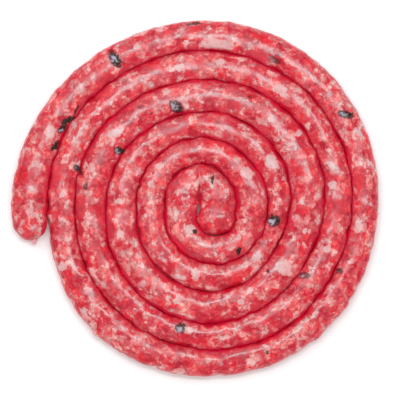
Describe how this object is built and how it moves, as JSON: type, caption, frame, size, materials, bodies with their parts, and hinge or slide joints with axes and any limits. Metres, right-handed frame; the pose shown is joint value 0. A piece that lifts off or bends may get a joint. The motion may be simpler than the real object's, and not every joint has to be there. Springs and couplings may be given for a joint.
{
  "type": "coiled raw sausage",
  "caption": "One long raw sausage in a thin natural casing, uncut and without links, coiled flat into a spiral disc with its inner end folded back in the middle.",
  "frame": {"origin": "on the board, under the middle of the coil's box", "axes": "+Z is up from the board. Seen from above with +Y up, the outer end lies at the left (-X) and points to -Y."},
  "size_m": [0.253, 0.2454, 0.0196],
  "materials": {
    "raw_sausage": "moist and glossy, coarse red meat with pale pink fat and a few dark herb flecks behind a clear casing"
  },
  "bodies": {
    "root": {"sausage": "raw_sausage"}
  },
  "joints": []
}
